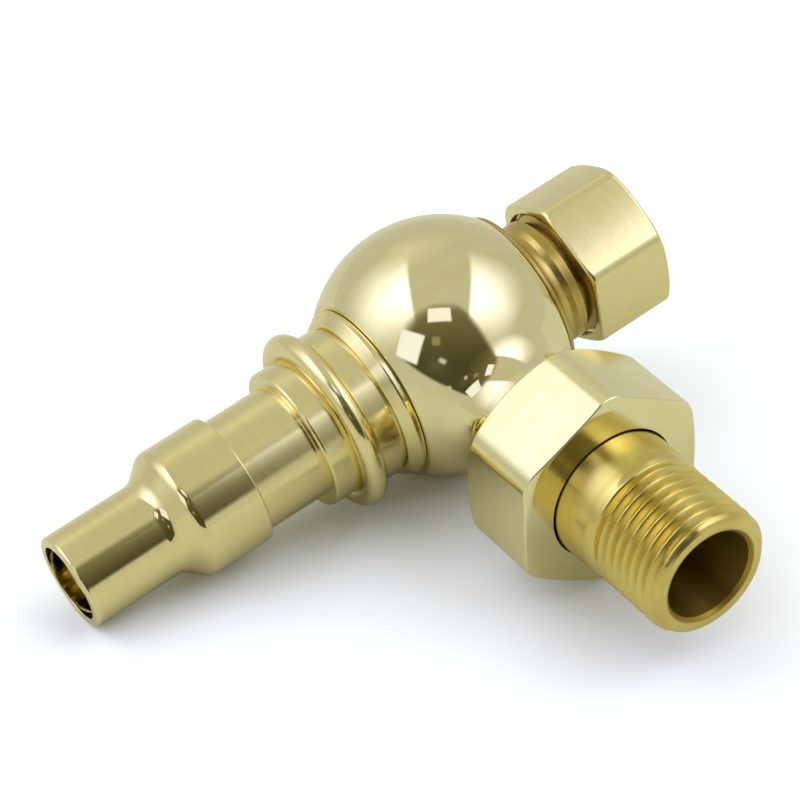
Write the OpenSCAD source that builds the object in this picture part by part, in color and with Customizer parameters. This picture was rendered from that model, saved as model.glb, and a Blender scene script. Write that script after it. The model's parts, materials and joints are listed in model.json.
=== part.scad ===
// Angled lockshield radiator valve in polished brass.
//
// A ball-shaped body has three ports: the bonnet and its lock shield on one
// side, a compression joint for the supply pipe opposite, and a union with a
// threaded radiator tail square to both. The valve lies on a table, on the
// ball, the rim of the shield and one corner of the union nut.
//
// Every piece is drawn on its own axis, with heights measured from the
// centre of the ball, and is then turned to its port. Threads are plain
// cylinders at their major diameter.

/* [Ball] */
// Radius of the ball
ball_r = 20.5; // [18:0.5:24]
// Height of the flat under the bonnet
head_flat = 13.7; // [13:0.1:14.5]
// Height of the flat under the inlet adaptor
inlet_flat = 14.1; // [13:0.1:14.5]
// Radius of the inner chamber
chamber_r = 9; // [8:0.5:10]
// Radius of the waist between the ball and the union
waist_r = 9; // [8.8:0.1:9.4]
// Radius of the cove from the ball to the waist
cove_r = 6; // [5:0.5:7]

/* [Bonnet] */
// Radius of the flange that meets the ball
flange_r = 14.4; // [13.5:0.1:15]
// Radius of the short cylinder above the flange
neck_r = 12.85; // [12:0.05:13.5]
// Height of the middle of the bead
bead_mid = 22.6; // [22:0.1:23.5]
// Radius of the bead's round section
bead_section = 1.9; // [1.5:0.05:2]
// Radius of the small collar
collar_r = 11.7; // [11:0.1:12]
// Radius of the column
column_r = 9.6; // [9.2:0.1:9.65]
// Height of the column's top
column_top = 47; // [46:0.5:48]

/* [Lock shield] */
// Radius of the bell
bell_r = 10.8; // [10.6:0.1:11.4]
// Radius of the hole that slides over the column
bell_bore_r = 9.75; // [9.7:0.01:9.8]
// Height of the bell's lower edge
bell_bottom = 40; // [38.5:0.25:40.5]
// Radius of the open tube
tube_r = 7.75; // [7.5:0.05:8]
// Radius of the tube's mouth
mouth_r = 6.25; // [6.1:0.05:6.5]
// Height of the tube's open end
tube_top = 69.9; // [68:0.1:72]

/* [Spindle] */
// Radius of the stem
stem_r = 4; // [3.9:0.05:4.05]
// Width of the square drive
drive_w = 5.5; // [5:0.1:5.5]
// How far the plug travels from open to shut
plug_travel = 4.5; // [3:0.5:4.5]

/* [Inlet] */
// Radius of the copper pipe
pipe_r = 7.5; // [7.5:0.01:7.52]
// Width of the compression nut across its flats
inlet_nut_af = 24; // [23.5:0.5:25]
// Radius of the half-inch pipe thread
half_inch_r = 10.4775; // [10.4:0.0005:10.5]

/* [Union and tail] */
// Width of the union nut across its flats
union_nut_af = 31.6; // [31:0.1:32]
// Radius of the three-quarter-inch pipe thread
three_quarter_r = 13.2205; // [13.2:0.0005:13.25]
// Radius of the tail's plain cylinder
tail_r = 10.7; // [10.6:0.05:10.9]
// Radius of the water way through the tail
tail_bore_r = 7.35; // [7:0.05:7.5]
// Height of the tail's open end
tail_end = 66.4; // [64:0.1:68]

/* [Fits] */
// Radial gap of a thread or sliding fit
fit = 0.05; // [0.03:0.01:0.08]
// Gap between faces that meet
face_gap = 0.05; // [0.03:0.01:0.08]

/* [Hidden] */
$fn = 96;
// Turns of the two hexagons about their own axes
union_nut_turn = 20.5;
inlet_nut_turn = 1.9;
// Middle of the footprint, from the point under the ball's centre
footprint = [16.23, 23.16];

// ---- where things are --------------------------------------------------

// Fibre washers under the bonnet and the inlet adaptor. A lip round each
// flange hides them.
washer_r = 12.2;
lip_r = washer_r + 0.3;
spigot_clearance = 0.1;

// Heights along the head, from the ball's centre
flange_bottom = head_flat + 0.35;
rim_height = 0.7;
rim_face_r = 13.35;
rim_face_top = 16.4;
neck_bottom = 17.2;
groove_depth = 0.4;
plug_room_r = 8;
plug_room_top = 20;
collar_top = 28.8;
collar_round = 0.5;
bead_ring_r = 13.15;
shoulder_start = 50.1;
shoulder_end = 53.2;
tube_start = 54.7;
bell_floor = 50.2;
packing_floor = 34;
gland_r = 6;
gland_floor = 40;
gland_top = 50.2;
gland_groove = 43.4;
shield_groove = 43.75;
mouth_depth = 2.4;
rim_round = 0.6;

// Spindle
foot_r = 6;
shoulder_r = 5;
foot_bottom = 3.7;
foot_top = 11;
shoulder_bottom = 24.5;
shoulder_top = 33.4;
clip_groove = 55.2;
drive_bottom = 56;
drive_top = 64.5;

// Plug, when open
disc_r = 7.2;
seat_washer_r = 6.6;
stud_bottom = -2.8;
seat_washer_bottom = -0.85;
disc_bottom = 1.65;
disc_top = 3.6;
pin_top = 9.3;
pin_r = 3;
stud_r = 1.5;

// Heights of the seat; it looks toward the head, so these are negative
seat_nose = seat_washer_bottom - plug_travel - face_gap;
seat_floor = -8.5;
seat_r = 6.6;
seat_hole_r = 5;

// Inlet
spigot_r = 10;
spigot_bottom = 10.2;
inner_bore_r = 6.9;
waist_ring_r = 12.6;
waist_section = 2.5;
waist_height = 18.2;
relief_depth = 0.9;
nut_mouth_r = 11.15;
adaptor_bottom = inlet_flat + 0.35;
inlet_nut_bottom = 21.9;
inlet_nut_top = 36;
nut_cone_bottom = 32.7;
socket_floor = 20.4;
cone_bottom = 29.6;
adaptor_top = 31;
relief_bottom = 20.8;
relief_top = 21.8;
olive_bottom = 30.1;
olive_top = 34.4;

// Union and tail
union_hole_r = 11;
tail_flange_r = 12.6;
key_r = 7.1;
key_depth = 37;
chamfer_r = 9.45;
o_ring_section = 0.55;
cove_top = sqrt(pow(ball_r + cove_r, 2) - pow(waist_r + cove_r, 2)) - 0.2;
collar_bottom = 27.2;
union_face = 34.2;
union_nut_bottom = 28.4;
union_nut_top = 43.6;
union_shoulder = 38.3;
socket_bottom = 29.6;
nose_bottom = 30.2;
nose_r = 9.6;
tail_groove = 32.25;
tail_flange_top = 37.5;
thread_start = 51.4;
thread_end = 65.2;

// The lying pose, from the three points that touch the table
union_corner_r = union_nut_af / sqrt(3);
union_corner_top = 42.5;
union_corner_turn = union_nut_turn + 240;
rim_out = tube_top - rim_round;
rim_side = tube_r - rim_round;
pitch = asin((ball_r - rim_round) / norm([rim_out, rim_side]))
    - atan2(rim_side, rim_out);
corner_x = union_corner_r * cos(union_corner_turn);
corner_z = union_corner_r * sin(union_corner_turn);
corner_drop = (ball_r + corner_x * sin(pitch)) / cos(pitch);
roll = asin(corner_drop / norm([union_corner_top, corner_z]))
    - atan2(-corner_z, union_corner_top);

module lying() {
    translate([footprint.x, footprint.y, ball_r])
        rotate([0, -pitch, 0])
            rotate([roll, 0, 0])
                children();
}

module toward_head() {
    lying()
        rotate([0, -90, 0])
            children();
}

module toward_inlet() {
    lying()
        rotate([0, 90, 0])
            children();
}

module toward_tail() {
    lying()
        rotate([90, 0, 0])
            children();
}

// ---- shapes used more than once ----------------------------------------

// A plain cylinder from one height to another
module rod(r, bottom, top) {
    translate([0, 0, bottom])
        cylinder(r = r, h = top - bottom);
}

// A flat ring
module ring(outer, inner, bottom, top) {
    difference() {
        rod(outer, bottom, top);
        rod(inner, bottom - 1, top + 1);
    }
}

// A ring of round section
module round_ring(middle, section, height) {
    translate([0, 0, height])
        rotate_extrude()
            translate([middle, 0])
                circle(section, $fn = 32);
}

// A hexagonal bar with corners at the given radius
module hexagon(corner, turn, bottom, top) {
    translate([0, 0, bottom])
        rotate([0, 0, turn])
            cylinder(r = corner, h = top - bottom, $fn = 6);
}

// A half profile, turned about the axis; points are [radius, height]
module turned(points) {
    rotate_extrude()
        polygon(points);
}

// ---- body --------------------------------------------------------------

module valve_body() {
    color("goldenrod")
        difference() {
            union() {
                toward_inlet()
                    rotate_extrude()
                        intersection() {
                            circle(ball_r);
                            translate([0, -head_flat])
                                square([ball_r, head_flat + inlet_flat]);
                        }
                toward_tail() {
                    rotate_extrude()
                        difference() {
                            translate([0, 12])
                                square([waist_r + 2.4, cove_top - 12]);
                            translate([waist_r + cove_r, cove_top])
                                circle(cove_r);
                        }
                    rod(waist_r, cove_top - 1, collar_bottom + 1);
                    rod(three_quarter_r, collar_bottom, union_face);
                }
            }
            toward_head() {
                rod(half_inch_r + fit, 6, ball_r);
                rod(chamber_r, -6, 7);
                rod(seat_r, seat_floor, 0);
                rod(seat_hole_r, -12, 0);
            }
            toward_inlet()
                rod(spigot_r, 10, ball_r);
            toward_tail() {
                rod(tail_bore_r, 7, union_face + 1);
                rod(nose_r + 0.1, socket_bottom, union_face + 1);
            }
        }
}

module seat_ring() {
    color("darkkhaki")
        toward_head()
            turned([
                [seat_hole_r, seat_floor + face_gap],
                [seat_r - fit, seat_floor + face_gap],
                [seat_r - fit, seat_nose - 0.6],
                [seat_r - 0.7, seat_nose],
                [seat_hole_r, seat_nose]
            ]);
}

// ---- bonnet and lock shield --------------------------------------------

module bonnet_washer() {
    color("firebrick")
        toward_head()
            ring(washer_r, half_inch_r + spigot_clearance,
                 head_flat + 0.03, flange_bottom - 0.03);
}

module bonnet() {
    color("goldenrod")
        toward_head()
            difference() {
                union() {
                    rod(half_inch_r, 7, flange_bottom + 1);
                    turned([
                        [0, flange_bottom],
                        [lip_r, flange_bottom],
                        [lip_r, head_flat + face_gap],
                        [flange_r, head_flat + face_gap],
                        [flange_r, flange_bottom + rim_height],
                        [rim_face_r, rim_face_top],
                        [neck_r - groove_depth, rim_face_top + 0.15],
                        [neck_r - groove_depth, neck_bottom],
                        [neck_r, neck_bottom],
                        [neck_r, bead_mid],
                        [0, bead_mid]
                    ]);
                    round_ring(bead_ring_r, bead_section, bead_mid);
                    rod(collar_r, bead_mid - 1, collar_top - collar_round);
                    rod(collar_r - collar_round, bead_mid, collar_top);
                    round_ring(collar_r - collar_round, collar_round,
                               collar_top - collar_round);
                    rod(column_r, collar_top - 1, column_top);
                }
                rod(plug_room_r, 6, plug_room_top);
                rod(shoulder_r + fit, plug_room_top - 1,
                    packing_floor + 0.5);
                rod(gland_r, packing_floor, column_top + 1);
                ring(column_r + 1, column_r - 1.2,
                     shield_groove - 0.75, shield_groove + 0.75);
            }
}

module packing_rings() {
    color("white")
        toward_head() {
            ring(gland_r - fit, stem_r + fit,
                 packing_floor + face_gap, packing_floor + 2.4);
            ring(gland_r - fit, stem_r + fit,
                 packing_floor + 2.5, packing_floor + 4.9);
        }
}

module gland_washer() {
    color("darkkhaki")
        toward_head()
            ring(gland_r - fit, stem_r + fit,
                 packing_floor + 4.95, gland_floor - 0.1);
}

module gland_nut() {
    color("gold")
        toward_head()
            difference() {
                union() {
                    rod(gland_r - fit, gland_floor, column_top + 1);
                    hexagon(8, 0, column_top + face_gap, gland_top);
                }
                rod(stem_r + 0.1, gland_floor - 1, gland_top + 1);
                rod(stem_r + 1.2, gland_groove - 0.9, gland_groove + 0.9);
            }
}

module gland_o_ring() {
    color("black")
        toward_head()
            round_ring(stem_r + 0.61, 0.56, gland_groove);
}

module shield_o_ring() {
    color("black")
        toward_head()
            round_ring(column_r - 0.53, 0.63, shield_groove);
}

module lock_shield() {
    color("goldenrod")
        toward_head()
            difference() {
                union() {
                    turned([
                        [0, bell_bottom],
                        [bell_r - 0.2, bell_bottom],
                        [bell_r, bell_bottom + 0.2],
                        [bell_r, shoulder_start],
                        [bell_r - 0.3, shoulder_start + 0.7],
                        [tube_r + 0.7, shoulder_end],
                        [tube_r, tube_start],
                        [tube_r, rim_out],
                        [0, rim_out]
                    ]);
                    rod(rim_side, rim_out - 1, tube_top);
                    round_ring(rim_side, rim_round, rim_out);
                }
                rod(bell_bore_r, bell_bottom - 1, bell_floor);
                rod(mouth_r - 0.3, bell_floor - 1, tube_top);
                rod(mouth_r, tube_top - mouth_depth, tube_top + 1);
            }
}

// ---- spindle and plug --------------------------------------------------

module spindle() {
    color("khaki")
        toward_head()
            difference() {
                union() {
                    rod(foot_r, foot_bottom, foot_top);
                    rod(stem_r, foot_top - 1, drive_bottom + 1);
                    rod(shoulder_r, shoulder_bottom, shoulder_top);
                    intersection() {
                        translate([-drive_w / 2, -drive_w / 2, drive_bottom])
                            cube([drive_w, drive_w, drive_top - drive_bottom]);
                        turned([
                            [0, drive_bottom],
                            [stem_r, drive_bottom],
                            [stem_r, drive_top - 0.8],
                            [stem_r - 0.8, drive_top],
                            [0, drive_top]
                        ]);
                    }
                }
                rod(pin_r + fit, foot_bottom - 1, pin_top + 0.2);
                ring(6, stem_r - 0.7, clip_groove, drive_bottom);
            }
}

module spindle_clip() {
    color("dimgray")
        toward_head()
            difference() {
                ring(5.2, stem_r - 0.65,
                     clip_groove + face_gap, drive_bottom - face_gap);
                translate([0, -1, clip_groove])
                    cube([6, 2, 1]);
            }
}

module jumper() {
    color("khaki")
        toward_head() {
            turned([
                [0, disc_bottom],
                [disc_r - 0.8, disc_bottom],
                [disc_r, disc_bottom + 0.75],
                [disc_r, disc_top],
                [pin_r, disc_top],
                [pin_r, pin_top - 0.5],
                [pin_r - 0.5, pin_top],
                [0, pin_top]
            ]);
            rod(stud_r, stud_bottom, disc_bottom + 1);
        }
}

module seat_washer() {
    color("black")
        toward_head()
            ring(seat_washer_r, stud_r + 0.1,
                 seat_washer_bottom, disc_bottom - face_gap);
}

module washer_nut() {
    color("gold")
        toward_head()
            difference() {
                hexagon(3.2, 0, stud_bottom + 0.3,
                        seat_washer_bottom - face_gap);
                rod(stud_r + fit, stud_bottom - 1, 0);
            }
}

// ---- inlet -------------------------------------------------------------

module inlet_washer() {
    color("firebrick")
        toward_inlet()
            ring(washer_r, spigot_r + spigot_clearance,
                 inlet_flat + 0.03, adaptor_bottom - 0.03);
}

module inlet_adaptor() {
    color("goldenrod")
        toward_inlet()
            difference() {
                union() {
                    rod(spigot_r - fit, spigot_bottom, waist_height);
                    rotate_extrude()
                        difference() {
                            polygon([
                                [0, adaptor_bottom],
                                [lip_r, adaptor_bottom],
                                [lip_r, inlet_flat + face_gap],
                                [flange_r, inlet_flat + face_gap],
                                [flange_r, adaptor_bottom + rim_height],
                                [waist_ring_r, waist_height - waist_section],
                                [waist_ring_r, waist_height + 0.8],
                                [0, waist_height + 0.8]
                            ]);
                            translate([waist_ring_r, waist_height])
                                circle(waist_section, $fn = 64);
                        }
                    rod(half_inch_r, waist_height, adaptor_top);
                }
                ring(half_inch_r + 1, half_inch_r - relief_depth,
                     relief_bottom, relief_top);
                rod(inner_bore_r, spigot_bottom - 1, socket_floor + 1);
                rod(pipe_r + fit, socket_floor, adaptor_top + 1);
                turned([
                    [0, cone_bottom],
                    [pipe_r + fit, cone_bottom],
                    [9.5, adaptor_top + 0.2],
                    [0, adaptor_top + 0.2]
                ]);
            }
}

module olive() {
    color("peru")
        toward_inlet()
            turned([
                [pipe_r + fit, olive_bottom],
                [pipe_r + 0.4, olive_bottom],
                [pipe_r + 1.5, olive_bottom + 1.6],
                [pipe_r + 1.5, olive_top - 1.8],
                [pipe_r + 0.4, olive_top],
                [pipe_r + fit, olive_top]
            ]);
}

module compression_nut() {
    corner = inlet_nut_af / sqrt(3);
    color("gold")
        toward_inlet()
            difference() {
                intersection() {
                    hexagon(corner, inlet_nut_turn,
                            inlet_nut_bottom, inlet_nut_top);
                    turned([
                        [0, inlet_nut_bottom],
                        [corner - 1.3, inlet_nut_bottom],
                        [corner, inlet_nut_bottom + 0.75],
                        [corner, inlet_nut_top - 1.2],
                        [corner - 2.1, inlet_nut_top],
                        [0, inlet_nut_top]
                    ]);
                }
                turned([
                    [0, inlet_nut_bottom - 1],
                    [nut_mouth_r, inlet_nut_bottom - 1],
                    [nut_mouth_r, inlet_nut_bottom + 1.6],
                    [half_inch_r + fit, inlet_nut_bottom + 2],
                    [half_inch_r + fit, nut_cone_bottom],
                    [pipe_r + 0.45, olive_top + 0.2],
                    [0, olive_top + 0.2]
                ]);
                rod(pipe_r + 0.2, 34, inlet_nut_top + 1);
            }
}

// ---- union and tail ----------------------------------------------------

module tailpiece() {
    color("goldenrod")
        toward_tail()
            difference() {
                union() {
                    rod(nose_r, nose_bottom, union_face + 1);
                    rod(tail_flange_r, union_face + 0.45, tail_flange_top);
                    rod(tail_r, tail_flange_top - 1, thread_start);
                    turned([
                        [0, thread_start - 1],
                        [half_inch_r, thread_start - 1],
                        [half_inch_r, thread_end],
                        [chamfer_r + 0.3, tail_end - 0.3],
                        [chamfer_r, tail_end],
                        [0, tail_end]
                    ]);
                }
                rod(tail_bore_r, key_depth - 1, tail_end + 1);
                hexagon(key_r, 0, nose_bottom - 1, key_depth);
                ring(nose_r + 1, nose_r - 1.1,
                     tail_groove - 0.75, tail_groove + 0.75);
            }
}

module tail_o_ring() {
    color("black")
        toward_tail()
            round_ring(nose_r - 0.52, o_ring_section, tail_groove);
}

module face_washer() {
    color("firebrick")
        toward_tail()
            ring(tail_flange_r - 0.1, nose_r + 0.15,
                 union_face + 0.03, union_face + 0.42);
}

module slip_washer() {
    color("white")
        toward_tail()
            ring(tail_flange_r + 0.3, tail_r + fit,
                 tail_flange_top + face_gap, union_shoulder - face_gap);
}

module union_nut() {
    color("gold")
        toward_tail()
            difference() {
                intersection() {
                    hexagon(union_corner_r, union_nut_turn,
                            union_nut_bottom, union_nut_top);
                    turned([
                        [0, union_nut_bottom],
                        [15, union_nut_bottom],
                        [union_corner_r, union_nut_bottom + 1.3],
                        [union_corner_r, union_corner_top],
                        [15.4, 43.4],
                        [12, union_nut_top],
                        [0, union_nut_top]
                    ]);
                }
                rod(three_quarter_r + fit,
                    union_nut_bottom - 1, union_shoulder);
                rod(union_hole_r, union_shoulder - 1, union_nut_top + 1);
            }
}

// ---- all pieces --------------------------------------------------------

valve_body();
seat_ring();
bonnet_washer();
bonnet();
packing_rings();
gland_washer();
gland_nut();
gland_o_ring();
shield_o_ring();
lock_shield();
spindle();
spindle_clip();
jumper();
seat_washer();
washer_nut();
inlet_washer();
inlet_adaptor();
olive();
compression_nut();
tailpiece();
tail_o_ring();
face_washer();
slip_washer();
union_nut();
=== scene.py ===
"""Looks of an angled lockshield radiator valve in polished brass.

Every piece is turned, milled or threaded in mesh code on its port's own axis,
in millimetres, with heights measured from the middle of the ball. The port's
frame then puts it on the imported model.
"""

import json
import math

import bpy
import numpy as np
from mathutils import Matrix, Vector


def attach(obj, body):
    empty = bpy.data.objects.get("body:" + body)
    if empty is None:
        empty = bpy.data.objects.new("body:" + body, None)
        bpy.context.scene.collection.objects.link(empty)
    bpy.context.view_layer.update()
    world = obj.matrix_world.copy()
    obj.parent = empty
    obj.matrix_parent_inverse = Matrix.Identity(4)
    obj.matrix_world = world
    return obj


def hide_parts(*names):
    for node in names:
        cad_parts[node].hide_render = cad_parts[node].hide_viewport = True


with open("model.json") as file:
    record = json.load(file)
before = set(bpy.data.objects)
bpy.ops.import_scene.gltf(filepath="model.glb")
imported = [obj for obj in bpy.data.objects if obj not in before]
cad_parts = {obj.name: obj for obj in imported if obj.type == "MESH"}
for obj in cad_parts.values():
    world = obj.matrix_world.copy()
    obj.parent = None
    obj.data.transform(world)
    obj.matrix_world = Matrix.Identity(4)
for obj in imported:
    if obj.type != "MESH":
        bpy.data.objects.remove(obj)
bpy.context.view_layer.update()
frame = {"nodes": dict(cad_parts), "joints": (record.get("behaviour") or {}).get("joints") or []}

MM = 0.001
ARC_STEP = math.radians(4)
PITCH = 1.8143  # half-inch and three-quarter-inch pipe threads, 14 to the inch
THREAD_DEPTH = 1.16
TAU = 2 * math.pi


# ---- where the ports are -------------------------------------------------

joints = {j["name"]: j for j in frame["joints"]}
centre = np.array(joints["spindle_turn"]["pos_m"])
inlet_axis = Vector(joints["spindle_turn"]["axis"]).normalized()
tail_axis = Vector(joints["union_turn"]["axis"]).normalized()
up_axis = inlet_axis.cross(-tail_axis).normalized()


def port_frame(x, y, z):
    """A port's x, y and z as columns. z points out along its axis."""
    return np.array([x, y, z], float).T


HEAD = port_frame(up_axis, -tail_axis, -inlet_axis)
INLET = port_frame(-up_axis, -tail_axis, inlet_axis)
TAIL = port_frame(inlet_axis, up_axis, tail_axis)


# ---- profiles ------------------------------------------------------------
# A profile is walked with the metal on its left, so an outer wall goes up the
# axis and a bore comes down it. Its items are corners (r, s) or
# (r, s, rounding), arcs, and threaded walls.

def arc(r, s, radius, start, end):
    """An arc about (r, s), in degrees from the radial direction. Rising
    angles bulge out of the metal and falling ones hollow into it."""
    return {"kind": "arc", "middle": (r, s), "radius": radius,
            "angles": (math.radians(start), math.radians(end))}


def thread(*wall, start=-math.inf):
    """A wall of corners (r, s) that a thread cuts, all along it or from a
    height on."""
    return {"kind": "thread", "wall": np.array(wall, float), "start": start}


def arc_rows(middle, radius, angles):
    """Rows (r, s, normal r, normal s) along an arc."""
    steps = max(2, math.ceil(abs(angles[1] - angles[0]) / ARC_STEP))
    a = np.linspace(*angles, steps + 1)
    out = math.copysign(1, angles[1] - angles[0])
    turn = np.stack([np.cos(a), np.sin(a)], 1)
    return np.hstack([np.array(middle) + radius * turn, out * turn])


def rounded_corner(before, item, after):
    """Rows of a rounded corner, or None for a sharp one."""
    rounding = item[2] if len(item) > 2 else 0
    point = np.array(item[:2], float)
    to = (point - before) / np.linalg.norm(point - before)
    away = (after - point) / np.linalg.norm(after - point)
    turn = math.atan2(to[0] * away[1] - to[1] * away[0], to @ away)
    if rounding == 0 or abs(turn) < 0.02:
        return None
    inward = math.copysign(1, turn) * np.array([-to[1], to[0]])
    start = point - to * rounding * abs(math.tan(turn / 2))
    first = math.atan2(-inward[1], -inward[0])
    return arc_rows(start + inward * rounding, rounding, (first, first + turn))


def ends_of(item):
    """First and last point of a profile item."""
    if isinstance(item, tuple):
        return np.array(item[:2], float), np.array(item[:2], float)
    if item["kind"] == "arc":
        rows = arc_rows(item["middle"], item["radius"], item["angles"])
        return rows[0, :2], rows[-1, :2]
    return item["wall"][0], item["wall"][-1]


def strips(profile, closed=True):
    """A profile as strips: arrays of rows, or threaded walls."""
    count = len(profile)
    made = []
    for i, item in enumerate(profile):
        first, last = ends_of(item)
        strip = None
        if not isinstance(item, tuple):
            strip = item
            if item["kind"] == "arc":
                strip = arc_rows(item["middle"], item["radius"],
                                 item["angles"])
        elif closed or 0 < i < count - 1:
            strip = rounded_corner(ends_of(profile[i - 1])[1], item,
                                   ends_of(profile[(i + 1) % count])[0])
            if strip is not None:
                first, last = strip[0, :2], strip[-1, :2]
        made.append((first, strip, last))
    joined = []
    for i, (_, strip, last) in enumerate(made):
        if strip is not None:
            joined.append(strip)
        if i == count - 1 and not closed:
            break
        step = made[(i + 1) % count][0] - last
        length = np.linalg.norm(step)
        if length > 1e-6:
            normal = np.array([step[1], -step[0]]) / length
            joined.append(np.array([[*last, *normal],
                                    [*(last + step), *normal]]))
    return joined


# ---- surfaces ------------------------------------------------------------
# A surface is a grid of points and one of normals, [row, step round, xyz].

EVEN = np.arange(240) * TAU / 240


def spin(rows, around):
    """Profile rows turned about the axis."""
    radial = np.stack([np.cos(around), np.sin(around), 0 * around], 1)
    axis = np.array([0.0, 0.0, 1.0])
    place, normal = (rows[:, None, [k]] * radial
                     + rows[:, None, [k + 1]] * axis for k in (0, 2))
    return place, normal


def thread_cut(height, around, start):
    """How far a right-hand thread cuts in: a vee with a sharp crest and a
    round root. It deepens over half a turn at its start."""
    crest, root = 0.05, 0.3
    away = np.abs((height / PITCH - around / TAU + 0.5) % 1 - 0.5) * 2
    top = np.sqrt(away ** 2 + crest ** 2) - crest
    bottom = 1 + root - np.sqrt((1 - away) ** 2 + root ** 2)
    depth = top + (bottom - top) * away
    fade = np.clip(2 * (height - start) / PITCH, 0, 1)
    return THREAD_DEPTH * depth * fade * fade * (3 - 2 * fade)


def cut_thread(item, around):
    """A threaded wall. It keeps its own shape where that lies deeper, as on
    a chamfer."""
    finest = 0.075
    wall = item["wall"]
    length = wall[-1, 1] - wall[0, 1]
    s = np.linspace(wall[0, 1], wall[-1, 1], math.ceil(length / finest) + 1)
    base = np.interp(s, wall[:, 1], wall[:, 0])[:, None]
    s = s[:, None] + 0 * around
    angle = around + 0 * s
    cut = thread_cut(s, angle, item["start"])
    r = np.minimum(base, base.max() - cut)
    slope = np.gradient(r, s[:, 0], axis=0)
    step = (np.roll(around, -1) - np.roll(around, 1)) % TAU
    twist = (np.roll(r, -1, 1) - np.roll(r, 1, 1)) / step / r
    radial = np.stack([np.cos(angle), np.sin(angle), 0 * r], 2)
    place = radial * r[..., None]
    place[..., 2] = s
    normal = radial.copy()
    normal[..., 0] += np.sin(angle) * twist
    normal[..., 1] -= np.cos(angle) * twist
    normal[..., 2] = -slope
    normal /= np.linalg.norm(normal, axis=2, keepdims=True)
    return place, normal


def surfaces(profile, around=EVEN, closed=True):
    """Every strip of a profile turned into a surface."""
    return [cut_thread(strip, around) if isinstance(strip, dict)
            else spin(strip, around) for strip in strips(profile, closed)]


def blunt_max(a, b, width):
    """The larger of two distances, eased where they cross."""
    near = np.clip(1 - np.abs(a - b) / width, 0, None)
    return np.maximum(a, b) + near * near * width / 4


def rounded_max(distances, rounding):
    """Distance to a solid cut by several faces, with rounded edges."""
    over = [np.maximum(d + rounding, 0) for d in distances]
    nearest = np.maximum.reduce(distances)
    return np.where(nearest > -rounding,
                    np.sqrt(sum(o * o for o in over)) - rounding, nearest)


def cone(r, s, through, angle):
    """Distance above a cone through (r, s) that falls outward at an angle in
    degrees; a negative one is below it."""
    slope = math.radians(abs(angle))
    sign = 1 if angle >= 0 else -1
    return (sign * (s - through[1]) * math.cos(slope)
            + (r - through[0]) * math.sin(slope))


def corner_steps(turn, steps=46):
    """Angles round a hexagon, close together at its corners."""
    crowding = 0.9
    t = np.arange(steps) / steps
    sector = (t - crowding * np.sin(TAU * t) / TAU) * math.radians(60)
    return np.concatenate([sector + math.radians(turn + 60 * k)
                           for k in range(6)])


def shell(distance, around, middle, first, last):
    """The surface where distance(r, angle, s) is nought, met by rays from a
    ring inside the metal, from the point first round to the point last."""
    rows, rays, longest, halvings, tiny = 84, 700, 30.0, 36, 1e-4
    per_mm = 0.06  # what a millimetre of run counts beside a radian of bend
    start, end = (math.atan2(p[1] - middle[1], p[0] - middle[0])
                  for p in (first, last))
    if end < start:
        end += TAU
    fine = np.linspace(start, end, rays)[:, None]
    round_it = around[None, :]
    low = 0 * fine + 0 * round_it
    high = low + longest

    def at(reach):
        return (middle[0] + reach * np.cos(fine),
                middle[1] + reach * np.sin(fine))

    for _ in range(halvings):
        half = (low + high) / 2
        r, s = at(half)
        inside = distance(r, round_it, s) < 0
        low, high = np.where(inside, half, low), np.where(inside, high, half)
    r, s = at((low + high) / 2)

    def normal_at(r, s):
        outward = (distance(r + tiny, round_it, s)
                   - distance(r - tiny, round_it, s))
        sideways = (distance(r, round_it + tiny, s)
                    - distance(r, round_it - tiny, s)) / r
        upward = (distance(r, round_it, s + tiny)
                  - distance(r, round_it, s - tiny))
        n = np.stack([outward, sideways, upward], 2)
        return n / np.linalg.norm(n, axis=2, keepdims=True)

    # rows crowd together where the surface turns
    n = normal_at(r, s)
    bend = np.arccos(np.clip((n[1:] * n[:-1]).sum(2), -1, 1))
    run = np.hypot(np.diff(r, axis=0), np.diff(s, axis=0))
    weight = np.cumsum(per_mm * run + bend + 1e-6, 0)
    weight = np.vstack([np.zeros((1, weight.shape[1])), weight])
    out_r, out_s = np.empty((rows, len(around))), np.empty((rows, len(around)))
    for i in range(len(around)):
        want = np.linspace(0, weight[-1, i], rows)
        out_r[:, i] = np.interp(want, weight[:, i], r[:, i])
        out_s[:, i] = np.interp(want, weight[:, i], s[:, i])
    n = normal_at(out_r, out_s)
    cos, sin = np.cos(round_it), np.sin(round_it)
    place = np.stack([out_r * cos, out_r * sin, out_s], 2)
    normal = np.stack([n[..., 0] * cos - n[..., 1] * sin,
                       n[..., 0] * sin + n[..., 1] * cos, n[..., 2]], 2)
    return place, normal


# ---- meshes --------------------------------------------------------------

def use_normals(mesh, normals):
    """Exact normals for shading, one for each corner of each face. A copy is
    kept as an attribute, which a boolean carries over."""
    normals = normals / np.linalg.norm(normals, axis=1, keepdims=True)
    kept = (mesh.attributes.get("exact_normal")
            or mesh.attributes.new("exact_normal", "FLOAT_VECTOR", "CORNER"))
    kept.data.foreach_set("vector", normals.astype(np.float32).ravel())
    mesh.polygons.foreach_set("use_smooth", np.ones(len(mesh.polygons), bool))
    mesh.normals_split_custom_set(normals.tolist())


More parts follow.
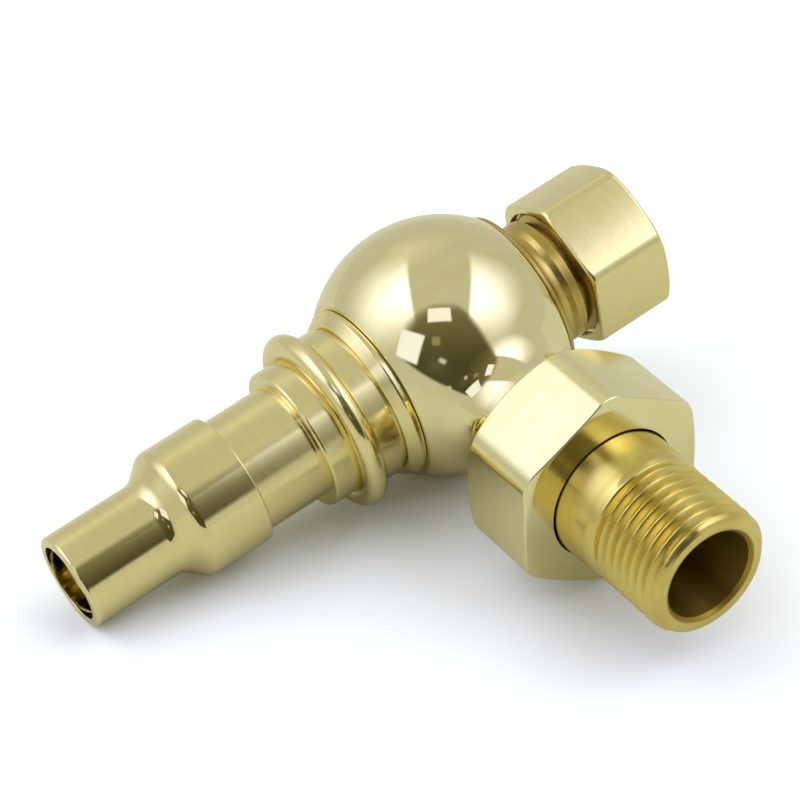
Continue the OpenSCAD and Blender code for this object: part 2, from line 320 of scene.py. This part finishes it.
def make_piece(name, port, grids):
    """One mesh from surfaces that go all the way round. Rows at the same
    place are shared."""
    verts, faces, corners, rows_made = [], [], [], {}

    def ids_of(row):
        on_axis = np.hypot(row[:, 0], row[:, 1]).max() < 1e-6
        two_points = row[[0, 7]]
        key = tuple(np.round(two_points, 4).ravel() + 0.0)
        if key not in rows_made:
            rows_made[key] = len(verts)
            verts.extend(row[:1] if on_axis else row)
        return rows_made[key] + (0 if on_axis else 1) * np.arange(len(row))

    for place, normal in grids:
        for j in range(len(place) - 1):
            low, high = ids_of(place[j]), ids_of(place[j + 1])
            quad = np.stack([low, np.roll(low, -1),
                             np.roll(high, -1), high], 1)
            side = np.stack([normal[j], np.roll(normal[j], -1, 0),
                             np.roll(normal[j + 1], -1, 0), normal[j + 1]], 1)
            keep = [k for k in range(4)
                    if not (k == 1 and low[0] == low[1])
                    and not (k == 3 and high[0] == high[1])]
            faces.extend(quad[:, keep].tolist())
            corners.append(side[:, keep].reshape(-1, 3))
    mesh = bpy.data.meshes.new(name)
    mesh.from_pydata((centre + np.array(verts) @ port.T * MM).tolist(), [],
                     faces)
    use_normals(mesh, np.concatenate(corners) @ port.T)
    piece = bpy.data.objects.new(name, mesh)
    bpy.context.scene.collection.objects.link(piece)
    return piece


def turned(name, port, profile, closed=True):
    """A piece turned from one profile."""
    return make_piece(name, port, surfaces(profile, closed=closed))


def bored(piece, cutter):
    """Takes the cutter's shape out of the piece."""
    flip = cutter.data.attributes["exact_normal"].data
    normals = np.empty(len(flip) * 3, np.float32)
    flip.foreach_get("vector", normals)
    flip.foreach_set("vector", -normals)
    cut = piece.modifiers.new("cut", "BOOLEAN")
    cut.operation, cut.solver, cut.object = "DIFFERENCE", "EXACT", cutter
    graph = bpy.context.evaluated_depsgraph_get()
    mesh = bpy.data.meshes.new_from_object(piece.evaluated_get(graph))
    piece.modifiers.clear()
    piece.data = mesh
    bpy.data.objects.remove(cutter)
    kept = mesh.attributes["exact_normal"].data
    normals = np.empty(len(kept) * 3, np.float32)
    kept.foreach_get("vector", normals)
    use_normals(mesh, normals.reshape(-1, 3).astype(float))
    return piece


# ---- pieces --------------------------------------------------------------

HALF_INCH = 10.4775  # radius of the half-inch pipe thread
THREE_QUARTER_INCH = 13.22  # radius of the three-quarter-inch pipe thread


def ball_body():
    """The ball, its cove and waist, and the union's thread, bored through."""
    ball, waist, cove = 20.5, 9.2, 7.5
    neck, mouth, root, bore = 27.2, 34.2, 11.95, 7.35
    cove_s = math.sqrt((ball + cove) ** 2 - (waist + cove) ** 2)
    tangent = math.degrees(math.atan2(cove_s, waist + cove))
    body = turned("valve_ball", TAIL, [
        arc(0, 0, ball, -90, tangent),
        arc(waist + cove, cove_s, cove, tangent + 180, 180),
        (waist, neck, 0.3),
        (root, neck),
        thread((root, neck), (THREE_QUARTER_INCH, neck + 1),
               (THREE_QUARTER_INCH, mouth - 1), (root, mouth)),
        (9.7, mouth, 0.2),
        (9.7, 29.6),
        (bore, 29.6),
        (bore, 7),
        (0, 7)], closed=False)
    # all that is cut away along the line from the head to the inlet
    head_bore, chamber, seat_bore, way, inlet_bore = 10.53, 9, 6.6, 5, 10
    head_face, inlet_face, clear = -13.7, 14.1, 25
    bores = turned("bores", INLET, [
        (0, -clear),
        (clear, -clear),
        (clear, head_face),
        (head_bore, head_face),
        (head_bore, -6),
        (chamber, -6),
        (chamber, 6),
        (seat_bore, 6),
        (seat_bore, 8.5),
        (way, 8.5),
        (way, 10),
        (inlet_bore, 10),
        (inlet_bore, inlet_face),
        (clear, inlet_face),
        (clear, clear),
        (0, clear)], closed=False)
    return bored(body, bores)


def bonnet():
    """Flange, cove, short cylinder, bead, collar and column, with its bore."""
    ring, section, middle, neck, collar = 13.15, 1.9, 22.6, 12.85, 11.7
    column, top, stem, chamber, seat = 9.6, 47, 5.05, 8, 14.05
    low = -math.degrees(math.acos((neck - ring) / section))
    high = math.degrees(math.acos((collar - ring) / section))
    return turned("bonnet_turned", HEAD, [
        (10.47, 7, 0.3),
        (10.47, seat),
        (12.5, seat),
        (12.5, 13.77, 0.05),
        (14.45, 13.77, 0.15),
        (14.5, 14.75, 0.6),
        (13.35, 16.4, 0.2),
        (12.45, 16.55, 0.1),
        (12.45, 17.2),
        (neck, 17.2, 0.12),
        arc(ring, middle, section, low, high),
        (collar, 28.8, 0.55),
        (column, 28.8, 0.12),
        (column, 39.85),
        (9.25, 39.9),
        (9.25, 40.6),
        (column, 40.65),
        (column, 43, 0.1),
        (8.4, 43),
        (8.4, 44.5),
        (column, 44.5, 0.1),
        (column, top, 0.4),
        (6, top, 0.2),
        (6, 34),
        (stem, 34),
        (stem, 20),
        (chamber, 20),
        (chamber, 7, 0.3)])


def shield():
    """Bell, conical shoulder and open tube."""
    bell, tube, mouth, tip = 10.8, 7.75, 40.05, 69.9
    return turned("lock_shield_turned", HEAD, [
        (bell, mouth, 0.25),
        (bell, 50.55, 2.2),
        (tube, 54.0, 3.4),
        (tube, tip, 0.6),
        (6.25, tip, 0.18),
        (6.25, 67.5, 0.1),
        (5.95, 67.5, 0.1),
        (5.95, 50.2),
        (9.75, 50.2, 0.3),
        (9.75, mouth, 0.12)])


def adaptor():
    """Flange, waist, collar and male compression thread."""
    flange, seat, foot, spigot = 14.4, 14.45, 10.2, 9.95
    bore, socket = 6.9, 7.55
    return turned("inlet_adaptor_turned", INLET, [
        (spigot, foot, 0.2),
        (spigot, seat),
        (flange, seat, 0.15),
        (flange, 15.15, 0.3),
        arc(12.7, 18.1, 2.6, 252, 176),
        (10.45, 19.2, 0.25),
        (10.45, 20.8, 0.2),
        (9.58, 20.8, 0.15),
        (9.58, 21.8),
        thread((HALF_INCH, 22.4), (HALF_INCH, 30.2), (9.3, 31), start=22.5),
        (socket, 29.6, 0.1),
        (socket, 20.4),
        (bore, 20.4, 0.1),
        (bore, foot, 0.2)])


def tail():
    """Nose, flange, plain cylinder, pipe thread and key socket."""
    nose, flange, cylinder, tip = 9.6, 12.6, 10.7, 66.4
    foot, socket_end, key, bore = 30.2, 37, 7.1, 7.35
    steps = corner_steps(0, 44)
    facing = np.array([np.cos(steps - math.radians(60 * k + 30))
                       for k in range(6)])
    hexagon = key * math.cos(math.pi / 6) / facing.max(0)
    side = np.radians(60 * facing.argmax(0) + 30)
    inward = -np.stack([np.cos(side), np.sin(side), 0 * side], 1)

    def loop(radius, s):
        return np.stack([radius * np.cos(steps), radius * np.sin(steps),
                         s + 0 * steps], 1)

    def flat_ring(first, last, normal):
        grid = np.stack([first, last])
        return grid, np.broadcast_to(np.array(normal, float), grid.shape)

    grids = surfaces([
        (8.3, foot),
        (nose, foot, 0.3),
        (nose, 31.5),
        (8.5, 31.5),
        (8.5, 33),
        (nose, 33),
        (nose, 34.65),
        (flange, 34.65, 0.2),
        (flange, 37.5, 0.3),
        (cylinder, 37.5),
        (cylinder, 50.7, 3),
        thread((HALF_INCH, 51.5), (HALF_INCH, 65.1), (9.75, 66.1), (9.3, tip),
               start=51.6),
        (7.8, tip, 0.12),
        (bore, tip - 0.5, 0.15),
        (bore, socket_end)], steps, closed=False)
    grids += [
        flat_ring(loop(bore, socket_end), loop(hexagon, socket_end), (0, 0, 1)),
        flat_ring(loop(hexagon, socket_end), loop(hexagon, foot), inward),
        flat_ring(loop(hexagon, foot), loop(8.3, foot), (0, 0, -1))]
    return make_piece("tailpiece_turned", TAIL, grids)


def nut(name, port, across, turn, faces, rounding, crown, middle, ends,
        inner):
    """A hexagonal nut, so wide across its flats and turned so far. faces
    gives its end cones as distances. rounding is that of the corners between
    its flats and of the flats' ends. Polishing has crowned the flats: they
    fall away by the square of the distance from their middle over crown.
    middle and ends are where the rays start, first and last. inner is the
    profile of the hole, from the outer end down."""
    around = corner_steps(turn)

    def solid(r, a, s):
        flats = []
        for k in range(6):
            off = a - math.radians(turn + 60 * k + 30)
            flats.append(r * np.cos(off) - across / 2
                         + (r * np.sin(off)) ** 2 / crown)
        flats = rounded_max(flats, rounding[0])
        return rounded_max([flats, *faces(r, s)], rounding[1])

    grids = [shell(solid, around, middle, *ends)]
    grids += surfaces(inner, around, closed=False)
    return make_piece(name, port, grids)


def union_nut():
    """The large nut. Each end is nearly flat, with a cone off its corners."""
    mouth, hole, inside = (14.6, 28.4), (11, 43.6), 13.27

    def faces(r, s):
        front = blunt_max(cone(r, s, hole, 5), cone(r, s, (16.3, 43.1), 24),
                          0.3)
        back = blunt_max(cone(r, s, mouth, -0.5),
                         cone(r, s, (15.4, 28.4), -32), 0.3)
        return [front, back]

    return nut("union_nut_milled", TAIL, across=31.6, turn=20.5, faces=faces,
               rounding=(1.6, 0.22), crown=200, middle=(14.2, 36),
               ends=(mouth, hole), inner=[
                   hole,
                   (11, 38.3),
                   (inside, 38.3),
                   (inside, 29.7, 0.1),
                   mouth])


def inlet_nut():
    """The compression nut. Each end is flat, with a cone off its corners."""
    low, high, mouth, inside, pipe = 21.9, 36, 11.15, 10.53, 7.7

    def faces(r, s):
        front = blunt_max(s - high + 0 * r, cone(r, s, (12.2, high), 30), 0.5)
        back = blunt_max(low - s + 0 * r, cone(r, s, (12.6, low), -30), 0.15)
        return [front, back]

    return nut("compression_nut_milled", INLET, across=24, turn=1.9,
               faces=faces, rounding=(0.9, 0.4), crown=140, middle=(11.7, 29),
               ends=((mouth, low), (pipe, high)), inner=[
                   (pipe, high),
                   (pipe, 34.6),
                   (7.95, 34.6),
                   (inside, 32.7),
                   (inside, 23.6, 0.1),
                   (mouth, 23.2),
                   (mouth, low)])


ball_piece = ball_body()
bonnet_piece = bonnet()
shield_piece = shield()
adaptor_piece = adaptor()
tail_piece = tail()
union_nut_piece = union_nut()
inlet_nut_piece = inlet_nut()


# ---- materials -----------------------------------------------------------

def feed(tree, node, values):
    """Gives a node's inputs numbers, colours or other nodes' outputs."""
    for key, value in dict(values).items():
        if isinstance(value, bpy.types.NodeSocket):
            tree.links.new(value, node.inputs[key])
        else:
            node.inputs[key].default_value = value


def add(tree, kind, values=(), **settings):
    """A shader node with settings, and values for its inputs."""
    made = tree.nodes.new("ShaderNode" + kind)
    for key, value in settings.items():
        setattr(made, key, value)
    feed(tree, made, values)
    return made


def maths(tree, operation, *values):
    """The result of an operation on numbers."""
    made = add(tree, "Math", enumerate(values), operation=operation)
    return made.outputs[0]


def weigh(tree, first, second, weights):
    """The sum of two values, each times its weight."""
    return maths(tree, "ADD", maths(tree, "MULTIPLY", first, weights[0]),
                 maths(tree, "MULTIPLY", second, weights[1]))


def vectors(tree, operation, *values):
    """The result of an operation on vectors."""
    made = add(tree, "VectorMath", enumerate(values), operation=operation)
    return made.outputs["Value" if operation in ("DOT_PRODUCT", "LENGTH")
                        else "Vector"]


def scaled(tree, vector, scale):
    """A vector times a number."""
    made = add(tree, "VectorMath", {0: vector, "Scale": scale},
               operation="SCALE")
    return made.outputs["Vector"]


def ramp(tree, value, *stops):
    """A colour ramp with stops of (place, grey or colour)."""
    made = add(tree, "ValToRGB", {"Fac": value})
    points = made.color_ramp.elements
    while len(points) < len(stops):
        points.new(1)
    for point, (place, colour) in zip(points, stops):
        point.position = place
        grey = isinstance(colour, (int, float))
        point.color = (*(3 * [colour] if grey else colour), 1)
    return made.outputs["Color"]


def rise(tree, value, low, high):
    """0 below low and 1 above high, straight between them."""
    made = add(tree, "MapRange", {"Value": value, "From Min": low,
                                  "From Max": high})
    return made.outputs["Result"]


def fall(tree, value, edge, soft):
    """1 below an edge and 0 above it, eased over a width."""
    made = add(tree, "MapRange", {"Value": value, "From Min": edge - soft,
                                  "From Max": edge + soft,
                                  "To Min": 1.0, "To Max": 0.0},
               interpolation_type="SMOOTHSTEP")
    return made.outputs["Result"]


def layer(tree, below, mask, colour, blend="MIX"):
    """A colour laid over another where a mask is 1."""
    made = add(tree, "Mix", {"Factor": mask, "A": below, "B": (*colour, 1)},
               data_type="RGBA", blend_type=blend)
    return made.outputs["Result"]


def noise(tree, scale, detail=2.0, roughness=0.5, **where):
    """A noise at the point Vector, or along the line W."""
    made = add(tree, "TexNoise", {"Scale": scale, "Detail": detail,
                                  "Roughness": roughness, **where},
               noise_dimensions="1D" if "W" in where else "3D")
    return made.outputs[0]


def bump(tree, height, depth):
    """The normals of a surface with a relief of a depth in millimetres."""
    made = add(tree, "Bump", {"Height": height, "Strength": 1.0,
                              "Distance": depth * MM})
    return made.outputs["Normal"]


def lathe_coordinates(tree, port):
    """The place from the middle of the ball, the height along a port's axis,
    the distance from it and the way out from it, in millimetres."""
    place = add(tree, "TexCoord").outputs["Object"]
    place = vectors(tree, "SUBTRACT", place, tuple(centre))
    place = scaled(tree, place, 1 / MM)
    axis = tuple(port[:, 2])
    height = vectors(tree, "DOT_PRODUCT", place, axis)
    along = scaled(tree, axis, height)
    away = vectors(tree, "SUBTRACT", place, along)
    return place, height, vectors(tree, "LENGTH", away), away


def new_material(name):
    """A material, its tree and its shader."""
    made = bpy.data.materials.new(name)
    made.use_nodes = True
    return made, made.node_tree, made.node_tree.nodes["Principled BSDF"]


def metal(name, port, tints, rough, lines, depth, grain=0.25, brushed=0.8,
          bore=0.0):
    """Metal that was turned about a port's axis. tints are its light and deep
    colour, rough the ends of its roughness, lines how many tool marks there
    are to a millimetre, depth how far they bump, and grain how much of the
    bump has no direction. brushed stretches reflections across the marks,
    and bore is a radius within which the metal is dull and given a darker
    tint as painted shade."""
    light, deep = tints
    band_scale, patch_scale, speck_scale = 0.55, 0.11, 2.4
    made, tree, shader = new_material(name)
    place, height, radius, away = lathe_coordinates(tree, port)
    run = maths(tree, "ADD", height, radius)
    marks = noise(tree, lines, detail=3.0, roughness=0.65, W=run)
    bands = noise(tree, band_scale, W=run)
    patches = noise(tree, patch_scale, detail=3.0, roughness=0.6,
                    Vector=place)
    specks = noise(tree, speck_scale, detail=4.0, roughness=0.6,
                   Vector=place)
    tint = ramp(tree, weigh(tree, patches, bands, (0.65, 0.35)),
                (0.35, deep), (0.62, light))
    wear = ramp(tree, weigh(tree, specks, marks, (0.5, 0.5)),
                (0.36, rough[0]), (0.66, rough[1]))
    # within the bore radius the metal is rougher and takes a darker tint, painted shade
    inside = fall(tree, radius, bore, 0.1)
    round_it = vectors(tree, "CROSS_PRODUCT", tuple(port[:, 2]), away)
    facing = add(tree, "NewGeometry").outputs["Normal"]
    feed(tree, shader, {
        "Base Color": layer(tree, tint, inside, SHADED_BORE_TINT),
        "Roughness": layer(tree, wear, inside, DULL_ROUGHNESS),
        "Tangent": vectors(tree, "CROSS_PRODUCT", round_it, facing),
        "Anisotropic": brushed,
        "Normal": bump(tree, weigh(tree, marks, specks, (1.0, grain)), depth),
        "Metallic": 1.0})
    return made


def plain(name, tints, rough, metallic=0.0):
    """A dull material with a mottled tint and a fine grain."""
    light, deep = tints
    patch_scale, grain_scale, grain_depth = 0.3, 4.8, 0.01
    made, tree, shader = new_material(name)
    place = scaled(tree, add(tree, "TexCoord").outputs["Object"], 1 / MM)
    patches = noise(tree, patch_scale, detail=3.0, Vector=place)
    grains = noise(tree, grain_scale, detail=4.0, roughness=0.7, Vector=place)
    feed(tree, shader, {
        "Base Color": ramp(tree, patches, (0.35, deep), (0.65, light)),
        "Roughness": ramp(tree, grains, (0.3, rough[0]), (0.7, rough[1])),
        "Normal": bump(tree, grains, grain_depth),
        "Metallic": metallic})
    return made


# light and deep tints
PALE = (0.86, 0.765, 0.40), (0.82, 0.72, 0.35)
WARM = (0.87, 0.755, 0.36), (0.83, 0.71, 0.31)
SATIN = (0.89, 0.80, 0.42), (0.85, 0.755, 0.37)
GOLD = (0.76, 0.61, 0.22), (0.70, 0.53, 0.16)
BRIGHT_GOLD = (0.77, 0.63, 0.20), (0.68, 0.53, 0.13)
# a gold darkened to paint the shade that falls on the adaptor between the ball and the nut
SHADED_GOLD = (0.61, 0.46, 0.13), (0.49, 0.35, 0.075)
COPPER = (0.86, 0.52, 0.36), (0.72, 0.38, 0.26)
BLACK = (0.03, 0.03, 0.03), (0.018, 0.018, 0.018)
RED_BROWN = (0.16, 0.06, 0.03), (0.10, 0.04, 0.02)
CREAM = (0.82, 0.82, 0.78), (0.74, 0.73, 0.68)
GREY = (0.36, 0.36, 0.38), (0.26, 0.26, 0.28)

# dull metal inside a bore, its darker tint painted shade
SHADED_BORE_TINT = (0.42, 0.28, 0.045)
DULL_ROUGHNESS = (0.42, 0.42, 0.42)

polished_ball = metal("polished_ball", TAIL, PALE, rough=(0.035, 0.065),
                      lines=3.0, depth=0.0004, brushed=0.0)
polished_shield = metal("polished_shield", HEAD, WARM, rough=(0.05, 0.08),
                        lines=6.0, depth=0.0008)
polished_head = metal("polished_head", HEAD, WARM, rough=(0.11, 0.17),
                      lines=6.0, depth=0.0012)
turned_head = metal("turned_head", HEAD, GOLD, rough=(0.18, 0.28),
                    lines=6.0, depth=0.003)
# turned metal on the inlet adaptor, its darker tint painted shade
shaded_turned_inlet = metal("shaded_turned_inlet", INLET, SHADED_GOLD, rough=(0.20, 0.28),
                     lines=7.0, depth=0.002, grain=0.03)
satin_inlet = metal("satin_inlet", INLET, WARM, rough=(0.17, 0.25),
                    lines=5.0, depth=0.0012, brushed=0.3)
satin_tail = metal("satin_tail", TAIL, SATIN, rough=(0.12, 0.19),
                   lines=5.0, depth=0.0006, brushed=0.0)
# its bore and key socket get the darker painted-shade tint
turned_tail = metal("turned_tail", TAIL, BRIGHT_GOLD, rough=(0.17, 0.25),
                    lines=7.0, depth=0.003, grain=0.03, bore=8.0)
copper = metal("copper", INLET, COPPER, rough=(0.18, 0.3),
               lines=5.0, depth=0.002)
rubber = plain("rubber", BLACK, rough=(0.5, 0.7))
fibre = plain("fibre", RED_BROWN, rough=(0.6, 0.8))
nylon = plain("nylon", CREAM, rough=(0.35, 0.5))
steel = plain("spring_steel", GREY, rough=(0.25, 0.4), metallic=1.0)


def give(piece, material):
    """Puts one material on a whole piece."""
    piece.data.materials.clear()
    piece.data.materials.append(material)


def dress(piece, body, slot, material, *nodes):
    """Gives a piece its material, its body and the nodes it stands for."""
    give(piece, material)
    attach(piece, body)
    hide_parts(*nodes)


dress(ball_piece, "valve", "polished_brass", polished_ball, "valve_body")
dress(bonnet_piece, "valve", "polished_brass", polished_head, "bonnet")
dress(shield_piece, "shield", "polished_brass", polished_shield,
      "lock_shield")
dress(adaptor_piece, "valve", "turned_brass", shaded_turned_inlet, "inlet_adaptor")
dress(tail_piece, "tail", "turned_brass", turned_tail, "tailpiece")
dress(union_nut_piece, "tail_nut", "nut_brass", satin_tail, "union_nut")
dress(inlet_nut_piece, "inlet_nut", "nut_brass", satin_inlet,
      "compression_nut")

INNER_PARTS = (
    (turned_head, ("seat_ring", "gland_washer", "gland_nut", "spindle",
                   "jumper", "washer_nut")),
    (copper, ("olive",)),
    (rubber, ("gland_o_ring", "shield_o_ring", "seat_washer", "tail_o_ring")),
    (fibre, ("bonnet_washer", "inlet_washer", "face_washer")),
    (nylon, ("packing_rings", "slip_washer")),
    (steel, ("spindle_clip",)))
for material, names in INNER_PARTS:
    for name in names:
        give(frame["nodes"][name], material)


# ---- studio --------------------------------------------------------------

def toward(azimuth, elevation):
    """A direction. Azimuth 0 is -Y and 90 is +X, in degrees."""
    a, e = math.radians(azimuth), math.radians(elevation)
    return Vector((math.sin(a) * math.cos(e), -math.cos(a) * math.cos(e),
                   math.sin(e)))


def flat_view(tree, direction, azimuth, elevation):
    """Where a direction meets a wall square to (azimuth, elevation), one away:
    its x and y on the wall, and whether it meets it at all."""
    ahead = toward(azimuth, elevation)
    right = toward(azimuth + 90, 0)
    up = right.cross(ahead) if right.cross(ahead).z > 0 else ahead.cross(right)
    depth = vectors(tree, "DOT_PRODUCT", direction, tuple(ahead))
    x, y = (maths(tree, "DIVIDE",
                  vectors(tree, "DOT_PRODUCT", direction, tuple(v)), depth)
            for v in (right, up))
    return x, y, maths(tree, "GREATER_THAN", depth, 0.05)


def pane(tree, x, y, middle, size, soft, turn=0):
    """A soft-edged rectangle on a wall: 1 inside it. turn is in degrees."""
    cos, sin = math.cos(math.radians(turn)), math.sin(math.radians(turn))
    dx = maths(tree, "SUBTRACT", x, middle[0])
    dy = maths(tree, "SUBTRACT", y, middle[1])
    along = weigh(tree, dx, dy, (cos, sin))
    across = weigh(tree, dx, dy, (-sin, cos))
    masks = [fall(tree, maths(tree, "ABSOLUTE", value), edge / 2, soft)
             for value, edge in ((along, size[0]), (across, size[1]))]
    return maths(tree, "MULTIPLY", *masks)


def soft_box(tree, direction, azimuth, top, low, middle):
    """How bright a soft box is: it has a sharp upper edge at the height top
    and fades down to the height low, and sideways from middle."""
    elevation = 44
    x, y, ahead = flat_view(tree, direction, azimuth, elevation)
    lit = maths(tree, "MULTIPLY", rise(tree, y, low, top - 0.05),
                fall(tree, y, top, 0.045))
    off = maths(tree, "ABSOLUTE", maths(tree, "SUBTRACT", x, middle))
    near, wide = fall(tree, off, 0.25, 0.3), fall(tree, off, 0.65, 0.3)
    spread = weigh(tree, near, wide, (0.55, 0.45))
    return maths(tree, "MULTIPLY", maths(tree, "MULTIPLY", lit, spread), ahead)


def tent(tree, direction):
    """White cloth all round, with a soft box on either side and a faint glow
    behind the valve."""
    cloth = ((0.0, (0.62, 0.64, 0.66)), (0.45, (0.60, 0.62, 0.63)),
             (0.95, (0.62, 0.63, 0.60)))
    box_colour, glow_colour = (2.2, 2.3, 3.3), (0.84, 0.85, 0.82)
    height = add(tree, "SeparateXYZ", {0: direction}).outputs["Z"]
    light = ramp(tree, height, *cloth)
    for box in (soft_box(tree, direction, -125, top=0.43, low=-0.6,
                         middle=0.05),
                soft_box(tree, direction, 60, top=0.37, low=-0.42,
                         middle=-0.12)):
        light = layer(tree, light, box, box_colour)
    x, y, ahead = flat_view(tree, direction, 172, 45)
    glow = pane(tree, x, y, middle=(0, 0), size=(0.5, 0.3), soft=0.35)
    return layer(tree, light, maths(tree, "MULTIPLY", glow, ahead),
                 glow_colour)


def opening(tree, x, y, ahead):
    """The tent's opening on the camera's wall: 1 inside it. It is round on
    the left, and straight edges close it below, above and on the right."""
    middle, radius, soft_rim = (0.05, -0.1), 0.74, 0.16
    edges = (((-0.581, -0.814), 0.575, 0.04), ((0.806, 0.591), 0.685, 0.09),
             ((0.95, -0.3), 1.08, 0.12))
    dx = maths(tree, "MINIMUM", maths(tree, "SUBTRACT", x, middle[0]), 0.0)
    dy = maths(tree, "SUBTRACT", y, middle[1])
    far = maths(tree, "SQRT", maths(tree, "ADD",
                                    maths(tree, "MULTIPLY", dx, dx),
                                    maths(tree, "MULTIPLY", dy, dy)))
    inside = maths(tree, "MULTIPLY", ahead,
                   fall(tree, far, radius, soft_rim))
    for outward, reach, soft in edges:
        limit = fall(tree, weigh(tree, x, y, outward), reach, soft)
        inside = maths(tree, "MULTIPLY", inside, limit)
    return inside


def room(tree, light, direction):
    """What shows through the opening: a dark room, lighter higher up, with
    some haze, two windows and two small lights."""
    dark, lighter = (0.078, 0.074, 0.042), (0.27, 0.26, 0.16)
    hazy, haze_strength = (0.25, 0.27, 0.27), 0.45
    x, y, ahead = flat_view(tree, direction, -33, 36)
    inside = opening(tree, x, y, ahead)
    light = layer(tree, light, inside, dark)
    higher = rise(tree, y, -0.25, 1.0)
    light = layer(tree, light, maths(tree, "MULTIPLY", inside, higher),
                  lighter)
    haze = pane(tree, x, y, middle=(-0.1, -0.32), size=(0.2, 0.1), soft=0.22,
                turn=-35)
    haze = maths(tree, "MULTIPLY", haze, inside)
    light = layer(tree, light, maths(tree, "MULTIPLY", haze, haze_strength),
                  hazy)
    # two windows, then two small lights
    for middle, size, soft, turn, colour in (
            ((-0.01, 0.5), (0.38, 0.26), 0.015, 0, (1.12, 1.18, 1.6)),
            ((-0.55, 0.01), (0.46, 0.49), 0.02, -21, (1.12, 1.18, 1.7)),
            ((-0.08, 0.065), (0.12, 0.13), 0.02, 0, (0.34, 0.30, 0.20)),
            ((0.0, -0.245), (0.11, 0.07), 0.025, -30, (0.7, 0.72, 0.75))):
        mask = pane(tree, x, y, middle, size, soft, turn)
        light = layer(tree, light, maths(tree, "MULTIPLY", mask, ahead),
                      colour)
    return light


def studio():
    """The tent and the room as the world. Matt surfaces get more light from
    it than mirrors show, and the camera sees plain white."""
    matt_gain, backdrop = (1.82, 1.86, 1.66), (1.0, 1.0, 1.0)
    world = bpy.data.worlds.new("studio")
    bpy.context.scene.world = world
    world.use_nodes = True
    tree = world.node_tree
    tree.nodes.clear()
    direction = add(tree, "TexCoord").outputs["Generated"]
    direction = vectors(tree, "NORMALIZE", direction)
    light = room(tree, tent(tree, direction), direction)
    path = add(tree, "LightPath")
    light = layer(tree, light, path.outputs["Is Diffuse Ray"], matt_gain,
                  blend="MULTIPLY")
    light = layer(tree, light, path.outputs["Is Camera Ray"], backdrop)
    background = add(tree, "Background", {"Color": light, "Strength": 1.0})
    add(tree, "OutputWorld", {"Surface": background.outputs[0]})


def table():
    """A plain white table top. Mirrors see it a little darker."""
    size, cloud_scale = 6.0, 6.0
    tints = (0.3, (0.93, 0.935, 0.94)), (0.7, (0.94, 0.943, 0.945))
    mirrored_colour = (0.58, 0.57, 0.50)
    mesh = bpy.data.meshes.new("table")
    mesh.from_pydata([(-size, -size, 0), (size, -size, 0), (size, size, 0),
                      (-size, size, 0)], [], [(0, 1, 2, 3)])
    top = bpy.data.objects.new("table", mesh)
    bpy.context.scene.collection.objects.link(top)
    made, tree, shader = new_material("table_white")
    place = add(tree, "TexCoord").outputs["Object"]
    white = ramp(tree, noise(tree, cloud_scale, Vector=place), *tints)
    mirrored = add(tree, "LightPath").outputs["Is Glossy Ray"]
    feed(tree, shader, {
        "Base Color": layer(tree, white, mirrored, mirrored_colour),
        "Roughness": 0.5,
        "Specular IOR Level": 0.1})
    mesh.materials.append(made)


def camera():
    """The camera stands on the head's side and looks down at the valve."""
    place = Vector((-0.211498, -0.331452, 0.323191))
    ahead = Vector((0.422645, 0.682882, -0.595855)).normalized()
    up = Vector((0.371836, 0.468921, 0.801156))
    data = bpy.data.cameras.new("camera")
    data.lens = 149.86
    data.shift_x, data.shift_y = -0.0006, -0.0004
    data.clip_start, data.clip_end = 0.05, 20
    eye = bpy.data.objects.new("camera", data)
    bpy.context.scene.collection.objects.link(eye)
    right = ahead.cross(up).normalized()
    turn = Matrix((right, right.cross(ahead), -ahead)).transposed()
    eye.matrix_world = Matrix.Translation(place) @ turn.to_4x4()
    bpy.context.scene.camera = eye


studio()
table()
camera()
scene = bpy.context.scene
scene.view_settings.view_transform = "Standard"
scene.view_settings.look = "None"
